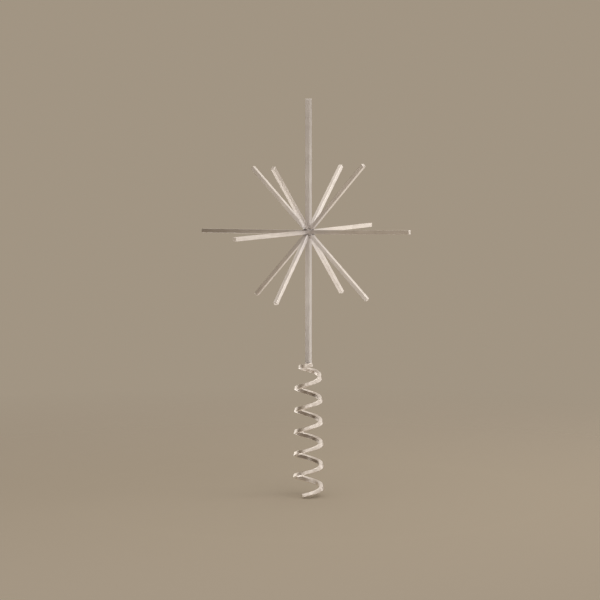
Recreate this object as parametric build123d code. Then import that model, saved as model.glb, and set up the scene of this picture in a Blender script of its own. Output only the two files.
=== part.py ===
from build123d import *
import math
import os

# A tree topper star: a burst of straight square bars welded round one centre post, which
# ends in a spiral of square wire that slips over the leader shoot at the top of a tree.
# Millimetres, +Z up. The origin is on the spiral's axis, level with its lowest point.
# The rays lie in the XZ and YZ planes. They are cut and set by hand, so each has its own
# reach and its own tilt.

# Bar stock
POST_SIDE = 5.0
RAY_SIDE = 4.0
WIRE_SIDE = 4.0
EDGE_ROUND = 0.4
TIP_CHAMFER = 0.3

# Star, measured from the point where all bars meet
POST_ABOVE_HUB = 134.5
POST_BELOW_HUB = 137.0
LEFT_REACH = 131.0
RIGHT_REACH = 118.5
FRONT_REACH = 133.0
BACK_REACH = 121.5
UPPER_LEFT_REACH = 93.5
UPPER_RIGHT_REACH = 94.5
UPPER_FRONT_REACH = 93.0
UPPER_BACK_REACH = 90.5
LOWER_LEFT_REACH = 91.5
LOWER_RIGHT_REACH = 96.0
LOWER_FRONT_REACH = 92.0
LOWER_BACK_REACH = 91.5
DIAGONAL_SEAT_BITE = 0.4

# Degrees by which each level ray rises, and by which each diagonal ray leaves the level
LEFT_RISE = -1.0
RIGHT_RISE = 1.5
FRONT_RISE = -0.5
BACK_RISE = 1.0
UPPER_LEFT_TILT = 43.5
UPPER_RIGHT_TILT = 46.5
UPPER_FRONT_TILT = 45.5
UPPER_BACK_TILT = 46.5
LOWER_LEFT_TILT = 46.0
LOWER_RIGHT_TILT = 43.5
LOWER_FRONT_TILT = 48.5
LOWER_BACK_TILT = 45.5

# Spiral socket, wound right-handed from the post's foot down to the mouth
SPIRAL_START = 22.0
SPIRAL_TURNS = 6.165
SPIRAL_PITCH = 22.5
SPIRAL_LAP = 4.4
SPIRAL_CLEARANCE = 0.05
TOP_BORE = 19.8
MOUTH_BORE = 23.2
OPENING_KNEE = 327.0
OPENING_BLEND = 60.0
LEAD_PITCH = 6.3
LEAD_KNEE = 147.0
LEAD_BLEND = 45.0
ARCS_PER_TURN = 4
GUIDE_LIFT = 40.0

# Weld beads
BEAD_LEG = 1.0
BEAD_MARGIN = 0.4
SPIRAL_BEAD_RADIUS = 1.3
SPIRAL_BEAD_SPAN = 50.0


def two_slopes(angle, first, second, knee, blend):
    """Height of a line that leaves zero at one slope and takes another past a rounded knee."""
    if angle <= knee - blend:
        return first * angle
    if angle >= knee + blend:
        return first * knee + second * (angle - knee)
    past = angle - (knee - blend)
    return first * angle + (second - first) * past**2 / (4 * blend)


# Spiral levels and radii that follow from the sizes above. Its angles count from the +X face.
SPIRAL_END = SPIRAL_START + 360.0 * SPIRAL_TURNS
START_RADIUS = POST_SIDE / 2 + SPIRAL_CLEARANCE + WIRE_SIDE / 2
TOP_RADIUS = TOP_BORE / 2 + WIRE_SIDE / 2
MOUTH_RADIUS = MOUTH_BORE / 2 + WIRE_SIDE / 2
OPENING_SLOPE = (TOP_RADIUS - START_RADIUS) / OPENING_KNEE
SOCKET_SLOPE = (MOUTH_RADIUS - TOP_RADIUS) / (SPIRAL_END - OPENING_KNEE)


def spiral_drop(angle):
    """How far the wire has come down, after this many degrees round the post."""
    return two_slopes(angle, LEAD_PITCH / 360, SPIRAL_PITCH / 360, LEAD_KNEE, LEAD_BLEND)


POST_FOOT_Z = spiral_drop(SPIRAL_END) + WIRE_SIDE - SPIRAL_LAP
SPIRAL_TOP_Z = POST_FOOT_Z + SPIRAL_LAP - WIRE_SIDE / 2
HUB = Vector(0, 0, POST_FOOT_Z + POST_BELOW_HUB)
UP = Vector(0, 0, 1)

# The four sides of the star: name, outward direction, then reach and tilt of its three rays, which
# are the level one, the one above it and the one below it
SIDES = [
    (
        "left",
        Vector(-1, 0, 0),
        (LEFT_REACH, LEFT_RISE),
        (UPPER_LEFT_REACH, UPPER_LEFT_TILT),
        (LOWER_LEFT_REACH, LOWER_LEFT_TILT),
    ),
    (
        "right",
        Vector(1, 0, 0),
        (RIGHT_REACH, RIGHT_RISE),
        (UPPER_RIGHT_REACH, UPPER_RIGHT_TILT),
        (LOWER_RIGHT_REACH, LOWER_RIGHT_TILT),
    ),
    (
        "front",
        Vector(0, -1, 0),
        (FRONT_REACH, FRONT_RISE),
        (UPPER_FRONT_REACH, UPPER_FRONT_TILT),
        (LOWER_FRONT_REACH, LOWER_FRONT_TILT),
    ),
    (
        "back",
        Vector(0, 1, 0),
        (BACK_REACH, BACK_RISE),
        (UPPER_BACK_REACH, UPPER_BACK_TILT),
        (LOWER_BACK_REACH, LOWER_BACK_TILT),
    ),
]


def square_bar(side, base, direction, lateral, length):
    """A square bar with rounded long edges, its far end sawn off and lightly broken."""
    section = Plane(origin=base, x_dir=lateral, z_dir=direction) * RectangleRounded(side, side, EDGE_ROUND)
    blank = extrude(section, length)
    tip = blank.faces().sort_by(Axis(base, direction))[-1]
    return chamfer(tip.edges(), TIP_CHAMFER)


def centre_post():
    foot = Vector(0, 0, POST_FOOT_Z)
    return square_bar(POST_SIDE, foot, UP, Vector(1, 0, 0), POST_BELOW_HUB + POST_ABOVE_HUB)


def heading(outward, degrees):
    """Direction that leaves the hub on one side, at this angle above the level."""
    angle = math.radians(degrees)
    return outward * math.cos(angle) + UP * math.sin(angle)


def level_ray(outward, reach, rise, post):
    """Its inner end is cut to stand flat on the post."""
    direction = heading(outward, rise)
    inside = HUB + direction * (POST_SIDE / 4)
    return square_bar(RAY_SIDE, inside, direction, outward.cross(UP), reach - POST_SIDE / 4) - post


def level_face(rise):
    """Height of a level ray's upper face at the hub, and its slope."""
    angle = math.radians(rise)
    return RAY_SIDE / 2 / math.cos(angle), math.tan(angle)


def start_on_post(tilt, overlap):
    """Distance from the hub at which a diagonal ray's upper corner is this deep in the post."""
    angle = math.radians(tilt)
    return (POST_SIDE / 2 - overlap + RAY_SIDE / 2 * math.sin(angle)) / math.cos(angle)


def start_on_level_ray(tilt, rise):
    """Distance from the hub at which a diagonal ray's lower corner stands on the level ray."""
    angle = math.radians(tilt)
    half = RAY_SIDE / 2
    height, slope = level_face(rise)
    lift = height + half * math.cos(angle) + half * math.sin(angle) * slope
    return lift / (math.sin(angle) - math.cos(angle) * slope)


def diagonal_ray(outward, up_or_down, reach, tilt, rise, post):
    """Sawn off square, with the inner corner filed to a flat seat on the post."""
    start = max(start_on_post(tilt, DIAGONAL_SEAT_BITE), start_on_level_ray(tilt, up_or_down * rise))
    direction = heading(outward, up_or_down * tilt)
    sawn_end = HUB + direction * start
    return square_bar(RAY_SIDE, sawn_end, direction, outward.cross(UP), reach - start) - post


def spiral_point(angle):
    """Centre of the wire. The spiral runs clockwise on its way down, seen from above."""
    radius = START_RADIUS + two_slopes(
        angle, OPENING_SLOPE, SOCKET_SLOPE, OPENING_KNEE, OPENING_BLEND
    )
    turned = -math.radians(angle)
    return Vector(
        radius * math.cos(turned), radius * math.sin(turned), SPIRAL_TOP_Z - spiral_drop(angle)
    )


def spiral_tangent(angle):
    step = 0.01
    return (spiral_point(angle + step) - spiral_point(angle - step)).normalized()


def biarc(start, start_tangent, end, end_tangent):
    """Two arcs that run from one point to another and keep the direction at both."""
    span = end - start
    both = start_tangent + end_tangent
    bend = 2 * (1 - start_tangent.dot(end_tangent))
    along = span.dot(both)
    reach = (math.sqrt(along**2 + bend * span.dot(span)) - along) / bend
    first_control = start + start_tangent * reach
    second_control = end - end_tangent * reach
    middle = (first_control + second_control) / 2
    return [
        Edge.make_tangent_arc(start, start_tangent, middle),
        Edge.make_tangent_arc(middle, second_control - first_control, end),
    ]


def spiral_path():
    spans = math.ceil(SPIRAL_TURNS * ARCS_PER_TURN / 2)
    step = (SPIRAL_END - SPIRAL_START) / spans
    angles = [SPIRAL_START + step * i for i in range(spans + 1)]
    edges = []
    for first, last in zip(angles, angles[1:]):
        edges += biarc(
            spiral_point(first), spiral_tangent(first), spiral_point(last), spiral_tangent(last)
        )
    return Wire(edges)


def spiral_socket():
    """Square wire, turned so that its upper face looks straight up all the way round."""
    onward = spiral_tangent(SPIRAL_START)
    start = Plane(origin=spiral_point(SPIRAL_START), x_dir=onward.cross(UP), z_dir=onward)
    section = start * RectangleRounded(WIRE_SIDE, WIRE_SIDE, EDGE_ROUND)
    path = spiral_path()
    wire = sweep(section, path=path, binormal=path.translate(UP * GUIDE_LIFT))
    print(f"spiral wire: volume {wire.volume:.0f}, section times length {section.area * path.length:.0f}")
    return wire


def spiral_gap():
    """Least clear gap between one turn of the wire and the next, on points along it."""
    step = 5.0
    count = int((SPIRAL_END - SPIRAL_START) / step)
    points = [spiral_point(SPIRAL_START + step * i) for i in range(count + 1)]
    apart = int(180 / step)
    least = min(
        (points[i] - points[j]).length
        for i in range(len(points))
        for j in range(i + apart, len(points))
    )
    return least - WIRE_SIDE * math.sqrt(2)


def bead(corner, first_face, second_face, across):
    """A weld bead in a corner: two straight legs along the faces and a rounded outer side."""
    first_toe = corner + first_face * BEAD_LEG
    second_toe = corner + second_face * BEAD_LEG
    crown = corner + (first_face + second_face).normalized() * BEAD_LEG
    outline = Wire(
        [
            Edge.make_line(corner, first_toe),
            Edge.make_three_point_arc(first_toe, crown, second_toe),
            Edge.make_line(second_toe, corner),
        ]
    )
    return extrude(Face(outline), RAY_SIDE / 2 - BEAD_MARGIN, dir=across, both=True)


def level_welds():
    """Beads above and below each level ray, in its corner with the post."""
    beads = []
    out = POST_SIDE / 2
    for _, outward, (_, rise), _, _ in SIDES:
        for side in (1, -1):
            height, slope = level_face(side * rise)
            corner = HUB + outward * out + UP * (side * (height + slope * out))
            beads.append(bead(corner, heading(outward, rise), UP * side, outward.cross(UP)))
    return Compound(children=beads)


def diagonal_welds():
    """Beads in the two sharp corners of each diagonal ray: at the post and at the level ray."""
    half = RAY_SIDE / 2
    beads = []
    for _, outward, (_, rise), (_, upper_tilt), (_, lower_tilt) in SIDES:
        for side, tilt in ((1, upper_tilt), (-1, lower_tilt)):
            direction = heading(outward, side * tilt)
            outer_face = heading(outward, side * (tilt + 90)) * half
            at_post = HUB + direction * start_on_post(tilt, 0) + outer_face
            at_ray = HUB + direction * start_on_level_ray(tilt, side * rise) - outer_face
            beads.append(bead(at_post, UP * side, direction, outward.cross(UP)))
            beads.append(bead(at_ray, heading(outward, rise), direction, outward.cross(UP)))
    return Compound(children=beads)


def inner_top_edge(angle):
    """Point on the edge of the wire that lies nearest to the post, on its upper side."""
    centre = spiral_point(angle)
    inward = Vector(-centre.X, -centre.Y, 0).normalized()
    return centre + inward * (WIRE_SIDE / 2) + UP * (WIRE_SIDE / 2)


def spiral_weld(post, spiral):
    """A bead along the top of the wire's start, round the corner of the post that it leans on."""
    first = inner_top_edge(SPIRAL_START)
    run = inner_top_edge(SPIRAL_START + SPIRAL_BEAD_SPAN) - first
    section = Plane(origin=first, z_dir=run) * Circle(SPIRAL_BEAD_RADIUS)
    return extrude(section, run.length) - post - spiral


post = centre_post()
level_rays = {}
diagonal_rays = {}
for name, outward, level, upper, lower in SIDES:
    level_rays[name] = level_ray(outward, *level, post)
    rise = level[1]
    diagonal_rays[f"upper_{name}"] = diagonal_ray(outward, 1, *upper, rise, post)
    diagonal_rays[f"lower_{name}"] = diagonal_ray(outward, -1, *lower, rise, post)
spiral = spiral_socket()

parts = {"centre_post": post, "spiral_socket": spiral}
parts.update({f"level_ray_{name}": ray for name, ray in level_rays.items()})
parts.update({f"diagonal_ray_{name}": ray for name, ray in diagonal_rays.items()})
parts["level_welds"] = level_welds()
parts["diagonal_welds"] = diagonal_welds()
parts["spiral_weld"] = spiral_weld(post, spiral)

print(f"hub at {HUB.Z:.1f}, overall height {HUB.Z + POST_ABOVE_HUB:.1f}")
print(f"least gap between turns of the spiral {spiral_gap():.2f}")

os.makedirs("parts", exist_ok=True)
for name, solid in parts.items():
    export_step(solid, f"parts/{name}.step")
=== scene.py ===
import math

import bmesh
import bpy
from mathutils import Matrix, Vector, noise


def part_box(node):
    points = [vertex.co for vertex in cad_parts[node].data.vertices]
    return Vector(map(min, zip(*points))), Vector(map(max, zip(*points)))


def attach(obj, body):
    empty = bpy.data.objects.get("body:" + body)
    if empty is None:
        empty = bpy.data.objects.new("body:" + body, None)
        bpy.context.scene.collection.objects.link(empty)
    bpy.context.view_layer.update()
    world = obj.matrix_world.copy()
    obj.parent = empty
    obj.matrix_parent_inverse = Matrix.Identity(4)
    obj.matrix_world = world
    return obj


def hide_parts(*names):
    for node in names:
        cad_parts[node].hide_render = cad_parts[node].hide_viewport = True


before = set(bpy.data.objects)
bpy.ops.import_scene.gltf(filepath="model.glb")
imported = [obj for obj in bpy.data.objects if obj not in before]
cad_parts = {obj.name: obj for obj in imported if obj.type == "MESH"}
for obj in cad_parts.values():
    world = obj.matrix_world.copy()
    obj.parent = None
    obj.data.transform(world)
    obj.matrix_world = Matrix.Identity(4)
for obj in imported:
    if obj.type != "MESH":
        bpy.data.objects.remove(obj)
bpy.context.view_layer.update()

UP = Vector((0, 0, 1))

# The photograph's camera, from where the bars' ends lie in it: pixels, degrees and metres
FRAME_PIXELS = 600
HUB_PIXEL = (308.5, 232.0)
CAMERA_AZIMUTH = 32.75
CAMERA_ELEVATION = 4.7
CAMERA_DISTANCE = 2.43
FOCAL_PIXELS = 2400.0
SENSOR_MM = 36.0

# Places read from the frame
WELDS_LOW, WELDS_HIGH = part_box("level_welds")
HUB = (WELDS_LOW + WELDS_HIGH) / 2
SPIRAL_LOW, SPIRAL_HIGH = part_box("spiral_socket")

# The spiral's wire, wound as in the solid but rounder at its edges: metres, and degrees round the post
WIRE_SIDE = 0.004
WIRE_ROUND = 0.0007
HALF_FLAT = WIRE_SIDE / 2 - WIRE_ROUND
CUT_BREAK = 0.0003
SPIRAL_START = 22.0
SPIRAL_TURNS = 6.165
SPIRAL_END = SPIRAL_START + 360.0 * SPIRAL_TURNS
SPIRAL_PITCH = 0.0225
START_RADIUS = 0.00455
TOP_RADIUS = 0.0119
MOUTH_RADIUS = 0.0136
OPENING_KNEE = 327.0
OPENING_BLEND = 60.0
LEAD_PITCH = 0.0063
LEAD_KNEE = 147.0
LEAD_BLEND = 45.0

# What hand winding does to the wire: degrees of roll about its own line, and metres off an even spiral
ROLL = 16.0
ROLL_START = 60.0
ROLL_EASE = 240.0
ROLL_STRAY = 3.0
BEND_STRAY = 0.0001
FIRST_BEND = 285.0
FIRST_BEND_LIFT = 0.0018
FIRST_BEND_SPAN = 60.0

# The waves that it strays in: each one's length and start in degrees, and its share
ROLL_WAVES = ((84, 0, 1.0), (137, 50, 0.7))
BEND_WAVES = ((69, 0, 1.0), (116, 40, 0.7))

# How finely the wire is meshed: degrees round the post, and steps round each edge
WIRE_STEP = 3.0
SLOPE_STEP = 0.05
EDGE_STEPS = 4

# Colours, linear. Each kind of weld has a dark and a bright one.
BACKDROP = (0.36, 0.30, 0.228, 1)
ROOM_FILL = (0.62, 0.60, 0.57, 1)
PLATE = (0.83, 0.775, 0.73, 1)
PLATE_DULL = (0.76, 0.705, 0.66, 1)
# Painted shade: a dark copy of the plating for the wire's sides that face its axis, inside its turns
INNER_SHADE = (0.36, 0.31, 0.265, 1)
# Painted shade: a darker, cooler copy of the plating near the hub, where the bars crowd together
HUB_SHADE_TONE = (0.74, 0.70, 0.685, 1)
# Painted highlight: a bright copy of weld metal for the welds on the post's corners
HIGHLIT_WELD = ((0.74, 0.71, 0.72, 1), (0.92, 0.89, 0.90, 1))
PLAIN_WELD = ((0.20, 0.18, 0.165, 1), (0.58, 0.545, 0.525, 1))
# Painted shade: a dark copy of weld metal for the welds in the pockets between the diagonal bars
SHADED_WELD = ((0.08, 0.07, 0.065, 1), (0.35, 0.33, 0.32, 1))
DARK_CARD = (0.10, 0.075, 0.05, 1)
PALE_CARD = (0.85, 0.82, 0.77, 1)

# Painted light: lighter copies of the plating for the wire and some bars, cooler for the post, as shares of
# red, green and blue
PLAIN_TINT = (1, 1, 1)
WIRE_LIGHT_TINT = (1.07, 1.07, 1.07)
BAR_LIGHT_TINTS = {"centre_post": (1.05, 1.08, 1.13), "level_ray_back": (1.08, 1.08, 1.07)}

# The stretch of a noise that tones run over, and the one that roughness runs over
TONE_RANGE = (0.35, 0.65)
ROUGH_RANGE = (0.3, 0.7)

# The plate's finish, and the reach of its painted shade at the hub: metres, noise scales per metre, and
# shares
PLATE_ROUGHNESS = (0.40, 0.50)
BRUSHING = 0.85
QUARTER_TURN = 0.25
PLATE_DETAIL = 3.0
MOTTLE_SCALE = 90.0
BAR_GRAIN_SIZE = (0.030, 0.0006, 0.0006)
WIRE_GRAIN_SCALE = 700.0
GRAIN_STRENGTH = 0.15
GRAIN_DEPTH = 0.00003
HUB_SHADE_FADE = (0.010, 0.045)

# Where shade is painted on the wire: how squarely a side faces the axis, and the height of the end turns,
# which light reaches and which are left unshaded
INNER_SIDE = (-0.75, -0.98)
END_TURN = 0.025

# Weld beads: the grid they are made on, their ripples and lumps in metres, and their tones, with a painted
# highlight on the level welds and painted shade on the diagonal ones
WELDS = {"level_welds": HIGHLIT_WELD, "diagonal_welds": SHADED_WELD, "spiral_weld": PLAIN_WELD}
WELD_VOXEL = 0.00014
WELD_PITCH = 0.0008
WELD_RIPPLE = 0.00006
WELD_LUMP = 0.00012
WELD_LUMP_SIZE = 0.0006
SOOT_SCALE = 1200.0
SOOT_DETAIL = 4.0
WELD_ROUGHNESS = (0.55, 0.35)

# The floor in metres, and the share of white that the studio gives back from it
FLOOR_SIDES = 96
FLOOR_RADIUS = 6.0
FLOOR_FADE = (0.25, 0.95)
FLOOR_LIGHT = 1.1
TABLE_LIFT = 0.001


def connect(tree, value, socket):
    """Feeds a socket from another one, or with a plain value."""
    if isinstance(value, bpy.types.NodeSocket):
        tree.links.new(value, socket)
    else:
        socket.default_value = value


def set_sockets(node, values):
    """Sets sockets of a node by name."""
    for name, value in values.items():
        node.inputs[name.replace("_", " ")].default_value = value


def new_node(tree, kind, **values):
    node = tree.nodes.new(kind)
    set_sockets(node, values)
    return node


def vector_math(tree, operation, first, second=None):
    """Works on one or two vectors. Distances, lengths and dot products come out as a value."""
    node = tree.nodes.new("ShaderNodeVectorMath")
    node.operation = operation
    connect(tree, first, node.inputs[0])
    if second is not None:
        connect(tree, second, node.inputs[1])
    gives_value = operation in ("DISTANCE", "DOT_PRODUCT", "LENGTH")
    return node.outputs["Value" if gives_value else "Vector"]


def combine(tree, operation, first, second):
    """Works on two values."""
    node = tree.nodes.new("ShaderNodeMath")
    node.operation = operation
    connect(tree, first, node.inputs[0])
    connect(tree, second, node.inputs[1])
    return node.outputs["Value"]


def ramp(tree, value, low, high, at_low=0.0, at_high=1.0):
    """A value brought from one range to another, and held at its ends."""
    node = new_node(tree, "ShaderNodeMapRange", From_Min=low, From_Max=high, To_Min=at_low, To_Max=at_high)
    connect(tree, value, node.inputs["Value"])
    return node.outputs["Result"]


def mix_colour(tree, factor, first, second):
    node = tree.nodes.new("ShaderNodeMixRGB")
    connect(tree, factor, node.inputs["Fac"])
    connect(tree, first, node.inputs["Color1"])
    connect(tree, second, node.inputs["Color2"])
    return node.outputs["Color"]


def soft_noise(tree, place, scale, detail):
    """Noise between zero and one."""
    node = new_node(tree, "ShaderNodeTexNoise", Scale=scale, Detail=detail)
    connect(tree, place, node.inputs["Vector"])
    return node.outputs["Fac"]


def tinted(colour, tint):
    """A colour with each channel taken times its own share."""
    return [value * share for value, share in zip(colour[:3], tint)] + [1]


def new_material(name, **values):
    """A material whose shader has some sockets set."""
    material = bpy.data.materials.new(name)
    material.use_nodes = True
    set_sockets(material.node_tree.nodes["Principled BSDF"], values)
    return material


def bar_grain(tree, place, along):
    """Noise drawn out along a bar."""
    stretch = tree.nodes.new("ShaderNodeMapping")
    stretch.vector_type = "TEXTURE"
    stretch.inputs["Rotation"].default_value = Vector((1, 0, 0)).rotation_difference(along).to_euler()
    stretch.inputs["Scale"].default_value = BAR_GRAIN_SIZE
    connect(tree, place, stretch.inputs["Vector"])
    return soft_noise(tree, stretch.outputs["Vector"], 1.0, PLATE_DETAIL)


def inner_shade_share(tree):
    """Share of painted shade: one on the wire's sides that face its axis, and zero in the end turns, where
    light reaches them.
    """
    spot = tree.nodes.new("ShaderNodeTexCoord")
    place = spot.outputs["Object"]
    outward = vector_math(tree, "NORMALIZE", vector_math(tree, "MULTIPLY", place, (1, 1, 0)))
    turned_out = vector_math(tree, "DOT_PRODUCT", outward, spot.outputs["Normal"])
    height = vector_math(tree, "MULTIPLY", place, UP)
    middle = UP * (SPIRAL_LOW.z + SPIRAL_HIGH.z) / 2
    from_middle = vector_math(tree, "DISTANCE", height, middle)
    reach = (SPIRAL_HIGH.z - SPIRAL_LOW.z) / 2
    inside = ramp(tree, turned_out, *INNER_SIDE)
    midway = ramp(tree, from_middle, reach - END_TURN, reach - END_TURN / 2, 1.0, 0.0)
    return combine(tree, "MULTIPLY", inside, midway)


def satin_plate(name, along=None, tint=PLAIN_TINT):
    """Satin plate brushed along a bar, or along the spiral's wire where no direction is given."""
    material = new_material(name, Metallic=1.0, Anisotropic=BRUSHING, Anisotropic_Rotation=QUARTER_TURN)
    tree = material.node_tree
    shader = tree.nodes["Principled BSDF"]
    place = tree.nodes.new("ShaderNodeTexCoord").outputs["Object"]

    mottle = soft_noise(tree, place, MOTTLE_SCALE, PLATE_DETAIL)
    cloudy = ramp(tree, mottle, *TONE_RANGE)
    # The tint is painted light: a lighter or cooler copy of the plating for some pieces
    tone = mix_colour(tree, cloudy, tinted(PLATE_DULL, tint), tinted(PLATE, tint))
    from_hub = vector_math(tree, "DISTANCE", place, HUB)
    # Painted shade: the plating turns darker and cooler towards the hub
    tone = mix_colour(tree, ramp(tree, from_hub, *HUB_SHADE_FADE, 1.0, 0.0), tone, HUB_SHADE_TONE)

    if along is None:
        brushed = vector_math(tree, "CROSS_PRODUCT", place, UP)
        grain = soft_noise(tree, place, WIRE_GRAIN_SCALE, PLATE_DETAIL)
        # Painted shade on the wire's sides that face its axis
        tone = mix_colour(tree, inner_shade_share(tree), tone, INNER_SHADE)
    else:
        brushed = along
        grain = bar_grain(tree, place, along)
    connect(tree, tone, shader.inputs["Base Color"])
    connect(tree, ramp(tree, grain, *ROUGH_RANGE, *PLATE_ROUGHNESS), shader.inputs["Roughness"])

    to_world = tree.nodes.new("ShaderNodeVectorTransform")
    to_world.convert_from = "OBJECT"
    to_world.convert_to = "WORLD"
    connect(tree, brushed, to_world.inputs["Vector"])
    connect(tree, to_world.outputs["Vector"], shader.inputs["Tangent"])

    bump = new_node(tree, "ShaderNodeBump", Strength=GRAIN_STRENGTH, Distance=GRAIN_DEPTH)
    connect(tree, grain, bump.inputs["Height"])
    connect(tree, bump.outputs["Normal"], shader.inputs["Normal"])
    return material


def weld_metal(name, dark, bright):
    """Grey weld metal in two tones, rougher where it is dark."""
    material = new_material(name, Metallic=1.0)
    tree = material.node_tree
    shader = tree.nodes["Principled BSDF"]
    place = tree.nodes.new("ShaderNodeTexCoord").outputs["Object"]
    soot = soft_noise(tree, place, SOOT_SCALE, SOOT_DETAIL)
    connect(tree, mix_colour(tree, ramp(tree, soot, *TONE_RANGE), dark, bright), shader.inputs["Base Color"])
    connect(tree, ramp(tree, soot, *ROUGH_RANGE, *WELD_ROUGHNESS), shader.inputs["Roughness"])
    return material


def set_material(piece, material):
    piece.data.materials.clear()
    piece.data.materials.append(material)


def add_object(name, data):
    piece = bpy.data.objects.new(name, data)
    bpy.context.scene.collection.objects.link(piece)
    return piece


def finished_mesh(name, mesh):
    """The mesh data that an object takes, from a mesh under construction."""
    data = bpy.data.meshes.new(name)
    mesh.to_mesh(data)
    mesh.free()
    return data


def dress_bars():
    """Each bar is brushed along its own length, which runs from the hub through its middle."""
    for node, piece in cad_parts.items():
        if node in WELDS or node == "spiral_socket":
            continue
        low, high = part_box(node)
        along = ((low + high) / 2 - HUB).normalized()
        # Some bars get painted light, as lighter or cooler copies of the plating
        set_material(piece, satin_plate(f"{node}_plate", along, BAR_LIGHT_TINTS.get(node, PLAIN_TINT)))


def add_weld(node):
    """A weld with the ripples and lumps of hand work, over the plain bead's own shape."""
    bead = add_object(f"{node}_bead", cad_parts[node].data.copy())
    fine = bead.modifiers.new("fine", "REMESH")
    fine.mode = "VOXEL"
    fine.voxel_size = WELD_VOXEL
    bead.update_tag()
    scene_state = bpy.context.evaluated_depsgraph_get()
    bead.data = bpy.data.meshes.new_from_object(bead.evaluated_get(scene_state))
    bead.modifiers.clear()

    mesh = bmesh.new()
    mesh.from_mesh(bead.data)
    mesh.normal_update()
    moves = []
    for vertex in mesh.verts:
        # Ripples run slantwise, so that beads along X and beads along Y both have them
        slantwise = vertex.co.x - vertex.co.y
        ripple = WELD_RIPPLE * math.sin(2 * math.pi * slantwise / WELD_PITCH)
        lump = WELD_LUMP * noise.noise(vertex.co / WELD_LUMP_SIZE)
        moves.append(vertex.normal * (ripple + lump))
    for vertex, move in zip(mesh.verts, moves):
        vertex.co += move
    for face in mesh.faces:
        face.smooth = True
    mesh.to_mesh(bead.data)
    mesh.free()

    # The level welds carry a painted highlight, the diagonal welds painted shade
    set_material(bead, weld_metal(f"{node}_metal", *WELDS[node]))
    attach(bead, "root")
    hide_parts(node)


def two_slopes(angle, first, second, knee, blend):
    """Height of a line that leaves zero at one slope and takes another past a rounded knee."""
    if angle <= knee - blend:
        return first * angle
    if angle >= knee + blend:
        return first * knee + second * (angle - knee)
    past = angle - (knee - blend)
    return first * angle + (second - first) * past**2 / (4 * blend)


def stray(angle, waves):
    """A sum of waves, each of which repeats every so many degrees round the post."""
    return sum(share * math.sin(math.radians(360 * angle / long + start)) for long, start, share in waves)


def hand_roll(angle):
    """How far the wire is rolled about its own line. It lies flat on the post, then leans to the axis."""
    share = min(max((angle - ROLL_START) / ROLL_EASE, 0), 1)
    lean = ROLL * share**2 * (3 - 2 * share)
    return math.radians(lean + ROLL_STRAY * stray(angle, ROLL_WAVES))


def rolled_half_height():
    """From the wire's centre down to the lowest point of its rolled section."""
    roll = math.radians(ROLL)
    return WIRE_ROUND + HALF_FLAT * (math.cos(roll) + math.sin(roll))


def first_bend(angle):
    """How much higher the wire runs at its first free bend than an even spiral would."""
    return FIRST_BEND_LIFT * math.exp(-(((angle - FIRST_BEND) / FIRST_BEND_SPAN) ** 2))


def spiral_drop(angle):
    """How far an even spiral comes down on its way to this angle."""
    return two_slopes(angle, LEAD_PITCH / 360, SPIRAL_PITCH / 360, LEAD_KNEE, LEAD_BLEND)


def spiral_point(angle):
    """Centre of the wire, this many degrees round the post. It runs clockwise on its way down."""
    opening = (TOP_RADIUS - START_RADIUS) / OPENING_KNEE
    widening = (MOUTH_RADIUS - TOP_RADIUS) / (SPIRAL_END - OPENING_KNEE)
    radius = START_RADIUS + two_slopes(angle, opening, widening, OPENING_KNEE, OPENING_BLEND)
    radius += BEND_STRAY * stray(angle, BEND_WAVES)
    height = SPIRAL_LOW.z + rolled_half_height() + spiral_drop(SPIRAL_END) - spiral_drop(angle)
    height += first_bend(angle)
    turned = -math.radians(angle)
    return Vector((radius * math.cos(turned), radius * math.sin(turned), height))


def wire_section(inset):
    """Rounded square, smaller by the inset, as offsets outward and upward from the wire's centre."""
    rounding = WIRE_ROUND - inset
    points = []
    for quarter in range(4):
        middle = math.radians(45 + 90 * quarter)
        across = math.copysign(HALF_FLAT, math.cos(middle))
        above = math.copysign(HALF_FLAT, math.sin(middle))
        for step in range(EDGE_STEPS + 1):
            turn = math.radians(90 * quarter + 90 * step / EDGE_STEPS)
            points.append((across + rounding * math.cos(turn), above + rounding * math.sin(turn)))
    return points


def wire_ring(mesh, angle, inset=0.0):
    """The wire's section at this angle, square to the way that the wire runs there."""
    centre = spiral_point(angle)
    onward = (spiral_point(angle + SLOPE_STEP) - spiral_point(angle - SLOPE_STEP)).normalized()
    outward = UP.cross(onward).normalized()
    upward = onward.cross(outward)
    roll = hand_roll(angle)
    across = outward * math.cos(roll) + upward * math.sin(roll)
    above = upward * math.cos(roll) - outward * math.sin(roll)
    return [mesh.verts.new(centre + across * a + above * b) for a, b in wire_section(inset)]


def add_spiral():
    """One hand-wound wire of square section. Its cut ends are flat, with their edges broken."""
    full_start = SPIRAL_START + math.degrees(CUT_BREAK / START_RADIUS)
    full_end = SPIRAL_END - math.degrees(CUT_BREAK / MOUTH_RADIUS)
    count = round((full_end - full_start) / WIRE_STEP)
    mesh = bmesh.new()
    rings = [wire_ring(mesh, SPIRAL_START, CUT_BREAK)]
    for i in range(count + 1):
        rings.append(wire_ring(mesh, full_start + (full_end - full_start) * i / count))
    rings.append(wire_ring(mesh, SPIRAL_END, CUT_BREAK))

    for near, far in zip(rings, rings[1:]):
        for i in range(len(near)):
            j = (i + 1) % len(near)
            mesh.faces.new((near[i], near[j], far[j], far[i])).smooth = True
    mesh.faces.new(rings[0][::-1])
    mesh.faces.new(rings[-1])

    piece = add_object("spiral_wire", finished_mesh("spiral_wire", mesh))
    normals = piece.modifiers.new("flat_sides", "WEIGHTED_NORMAL")
    normals.keep_sharp = True
    # The wire's plating is painted lighter
    set_material(piece, satin_plate("spiral_wire_plate", tint=WIRE_LIGHT_TINT))
    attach(piece, "root")
    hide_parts("spiral_socket")


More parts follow.
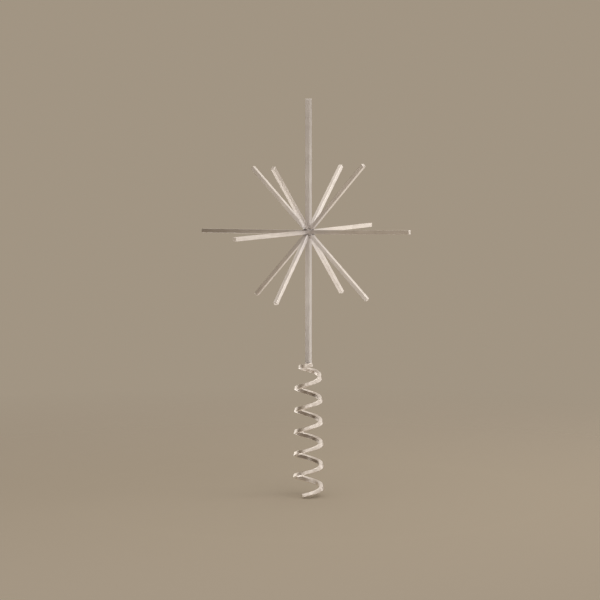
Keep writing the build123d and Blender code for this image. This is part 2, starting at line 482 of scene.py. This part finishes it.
def add_floor():
    """Taupe paper that fades into the backdrop."""
    bpy.ops.mesh.primitive_circle_add(vertices=FLOOR_SIDES, radius=FLOOR_RADIUS, fill_type="NGON")
    floor = bpy.context.object
    floor.name = "floor"
    material = new_material("floor_paper")
    tree = material.node_tree
    tree.nodes.clear()
    out = tree.nodes.new("ShaderNodeOutputMaterial")
    paper = new_node(tree, "ShaderNodeBsdfDiffuse", Color=tinted(BACKDROP, [1 / FLOOR_LIGHT] * 3))
    clear = tree.nodes.new("ShaderNodeBsdfTransparent")
    mix = tree.nodes.new("ShaderNodeMixShader")
    place = tree.nodes.new("ShaderNodeTexCoord").outputs["Object"]
    from_part = vector_math(tree, "LENGTH", place)
    connect(tree, ramp(tree, from_part, *FLOOR_FADE), mix.inputs["Fac"])
    connect(tree, paper.outputs["BSDF"], mix.inputs[1])
    connect(tree, clear.outputs["BSDF"], mix.inputs[2])
    connect(tree, mix.outputs["Shader"], out.inputs["Surface"])
    set_material(floor, material)


def add_world():
    """The backdrop that the camera sees, and that the metal shows too. It lights the rest softly."""
    world = bpy.data.worlds.new("studio")
    bpy.context.scene.world = world
    world.use_nodes = True
    tree = world.node_tree
    ray = tree.nodes.new("ShaderNodeLightPath")
    seen = ray.outputs["Is Camera Ray"]
    for kind in ("Is Glossy Ray", "Is Transmission Ray"):
        seen = combine(tree, "MAXIMUM", seen, ray.outputs[kind])
    shade = tree.nodes["Background"]
    connect(tree, mix_colour(tree, seen, ROOM_FILL, BACKDROP), shade.inputs["Color"])


def picture_right():
    """To the right in the picture, which is level."""
    azimuth = math.radians(CAMERA_AZIMUTH)
    return Vector((math.cos(azimuth), math.sin(azimuth), 0))


def studio_direction(azimuth, elevation):
    """From the hub: degrees to the right of straight away from the camera, and degrees up."""
    right = picture_right()
    away = UP.cross(right)
    turn = math.radians(azimuth)
    rise = math.radians(elevation)
    return (right * math.sin(turn) + away * math.cos(turn)) * math.cos(rise) + UP * math.sin(rise)


def standing_at(place, right, back):
    """Where a lamp or a camera stands that looks away from its back."""
    turn = Matrix((right, back.cross(right), back)).transposed().to_4x4()
    return Matrix.Translation(place) @ turn


def add_panel(name, middle, facing, long_side, length, width, radiance):
    """A soft panel in metres, lit evenly, that shows in the metal but not to the camera."""
    data = bpy.data.lights.new(name, "AREA")
    data.shape = "RECTANGLE"
    data.size = length
    data.size_y = width
    data.energy = radiance * math.pi * length * width
    lamp = add_object(name, data)
    lamp.matrix_world = standing_at(middle, long_side.normalized(), -facing)
    lamp.visible_camera = False


def add_hung_panel(name, azimuth, elevation, distance, length, width, radiance):
    """A panel that hangs in one direction from the hub and faces it."""
    outward = studio_direction(azimuth, elevation)
    add_panel(name, HUB + outward * distance, -outward, UP.cross(outward), length, width, radiance)


def add_standing_panel(name, azimuth, distance, width, low, high, radiance):
    """An upright panel between two heights."""
    outward = studio_direction(azimuth, 0)
    middle = outward * distance + UP * ((low + high) / 2)
    add_panel(name, middle, -outward, UP.cross(outward), width, high - low, radiance)


def add_table_panel(name, azimuth, distance, length, width, radiance):
    """A glow from the table, as from pale paper just beside the part."""
    outward = studio_direction(azimuth, 0)
    middle = outward * distance + UP * TABLE_LIFT
    add_panel(name, middle, UP, UP.cross(outward), length, width, radiance)


def add_lights():
    """A key high in front on the right, fills all round it, and glows from the table."""
    add_hung_panel("key_panel", azimuth=130, elevation=48, distance=1.4,
                   length=2.2, width=0.65, radiance=2.4)
    add_hung_panel("top_panel", azimuth=180, elevation=80, distance=1.4,
                   length=1.2, width=1.0, radiance=0.95)
    add_hung_panel("back_panel", azimuth=0, elevation=38, distance=1.3,
                   length=1.5, width=1.1, radiance=0.55)
    add_hung_panel("back_right_panel", azimuth=40, elevation=33, distance=1.3,
                   length=0.7, width=0.6, radiance=0.8)
    add_standing_panel("side_panel", azimuth=90, distance=1.1,
                       width=0.8, low=0.30, high=0.85, radiance=0.50)
    add_standing_panel("low_side_panel", azimuth=63, distance=0.9,
                       width=0.5, low=0.0, high=0.32, radiance=1.15)
    add_standing_panel("low_front_panel", azimuth=-163, distance=1.0,
                       width=0.85, low=0.0, high=0.22, radiance=1.1)
    add_standing_panel("front_panel", azimuth=-152, distance=1.1,
                       width=0.7, low=0.48, high=0.95, radiance=1.05)
    add_standing_panel("left_fill", azimuth=-118, distance=0.9,
                       width=0.5, low=0.0, high=0.45, radiance=0.22)
    add_table_panel("left_glow", azimuth=-45, distance=0.28, length=0.28, width=0.32, radiance=1.4)
    add_table_panel("right_glow", azimuth=75, distance=0.42, length=0.80, width=0.66, radiance=0.65)
    add_table_panel("front_glow", azimuth=-175, distance=0.30, length=0.30, width=0.30, radiance=0.5)
    add_table_panel("end_glow", azimuth=-125, distance=0.035, length=0.045, width=0.03, radiance=2.2)


def add_card(name, tone, azimuth, distance, width, low, high, aside=0.0):
    """An upright card of one plain tone that only the metal sees."""
    outward = studio_direction(azimuth, 0)
    side = UP.cross(outward)
    middle = outward * distance + side * aside
    half = side * width / 2
    mesh = bmesh.new()
    corners = (
        middle - half + UP * low,
        middle + half + UP * low,
        middle + half + UP * high,
        middle - half + UP * high,
    )
    mesh.faces.new([mesh.verts.new(corner) for corner in corners])
    card = add_object(name, finished_mesh(name, mesh))
    set_material(card, new_material(f"{name}_paper", Base_Color=tone, Roughness=1.0))
    for kind in ("camera", "diffuse", "transmission", "volume_scatter", "shadow"):
        setattr(card, f"visible_{kind}", False)


def add_cards():
    """Dark cards for the left ray's tip and the wire's inner hollows, and a pale one for its left bends."""
    add_card("tip_card", DARK_CARD, azimuth=-114.5, distance=0.22,
             width=0.26, low=0.25, high=0.60, aside=-0.205)
    add_card("left_card", DARK_CARD, azimuth=-100, distance=0.24, width=0.16, low=0.03, high=0.16)
    add_card("pale_card", PALE_CARD, azimuth=-40, distance=0.40, width=0.48, low=0.0, high=0.25)


def add_camera():
    """The photograph's camera, with the hub at its place in the picture."""
    elevation = math.radians(CAMERA_ELEVATION)
    right = picture_right()
    back = right.cross(UP) * math.cos(elevation) + UP * math.sin(elevation)
    up = back.cross(right)
    metres_per_pixel = CAMERA_DISTANCE / FOCAL_PIXELS
    aside = (HUB_PIXEL[0] - FRAME_PIXELS / 2) * metres_per_pixel
    above = (FRAME_PIXELS / 2 - HUB_PIXEL[1]) * metres_per_pixel
    data = bpy.data.cameras.new("photo_camera")
    data.sensor_width = SENSOR_MM
    data.lens = SENSOR_MM * FOCAL_PIXELS / FRAME_PIXELS
    camera = add_object("photo_camera", data)
    place = HUB + back * CAMERA_DISTANCE - right * aside - up * above
    camera.matrix_world = standing_at(place, right, back)
    bpy.context.scene.camera = camera


bpy.context.scene.view_settings.view_transform = "Standard"
dress_bars()
for weld in WELDS:
    add_weld(weld)
add_spiral()
add_floor()
add_world()
add_lights()
add_cards()
add_camera()
